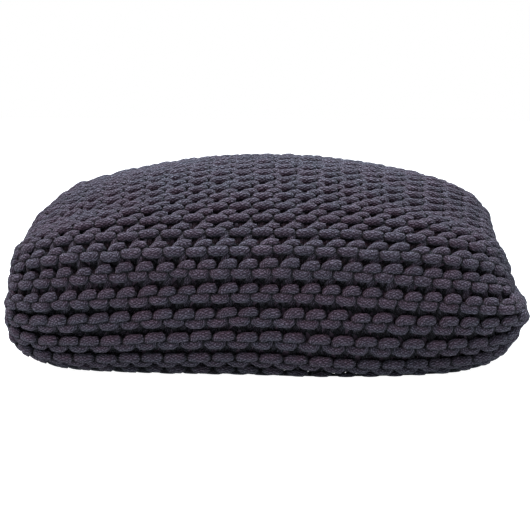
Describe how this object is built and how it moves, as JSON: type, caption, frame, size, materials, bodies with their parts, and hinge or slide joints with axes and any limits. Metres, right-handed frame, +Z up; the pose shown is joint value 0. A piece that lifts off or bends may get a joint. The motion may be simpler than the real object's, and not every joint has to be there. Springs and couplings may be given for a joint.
{
  "type": "knitted pouf",
  "caption": "Low square floor pouf with a domed top and rounded sides, in chunky ridged garter knit, resting flat on its base.",
  "frame": {"origin": "on the floor, under the middle of the pouf", "axes": "+Z up from the base to the crown, front face towards -Y, sewn side faces towards -X and +X"},
  "size_m": [0.6168, 0.6, 0.237],
  "materials": {
    "cotton_yarn": "thick matt anthracite cotton yarn with a braided grain, knitted in garter stitch"
  },
  "bodies": {
    "root": {"knit_pouf": "cotton_yarn"}
  },
  "joints": []
}
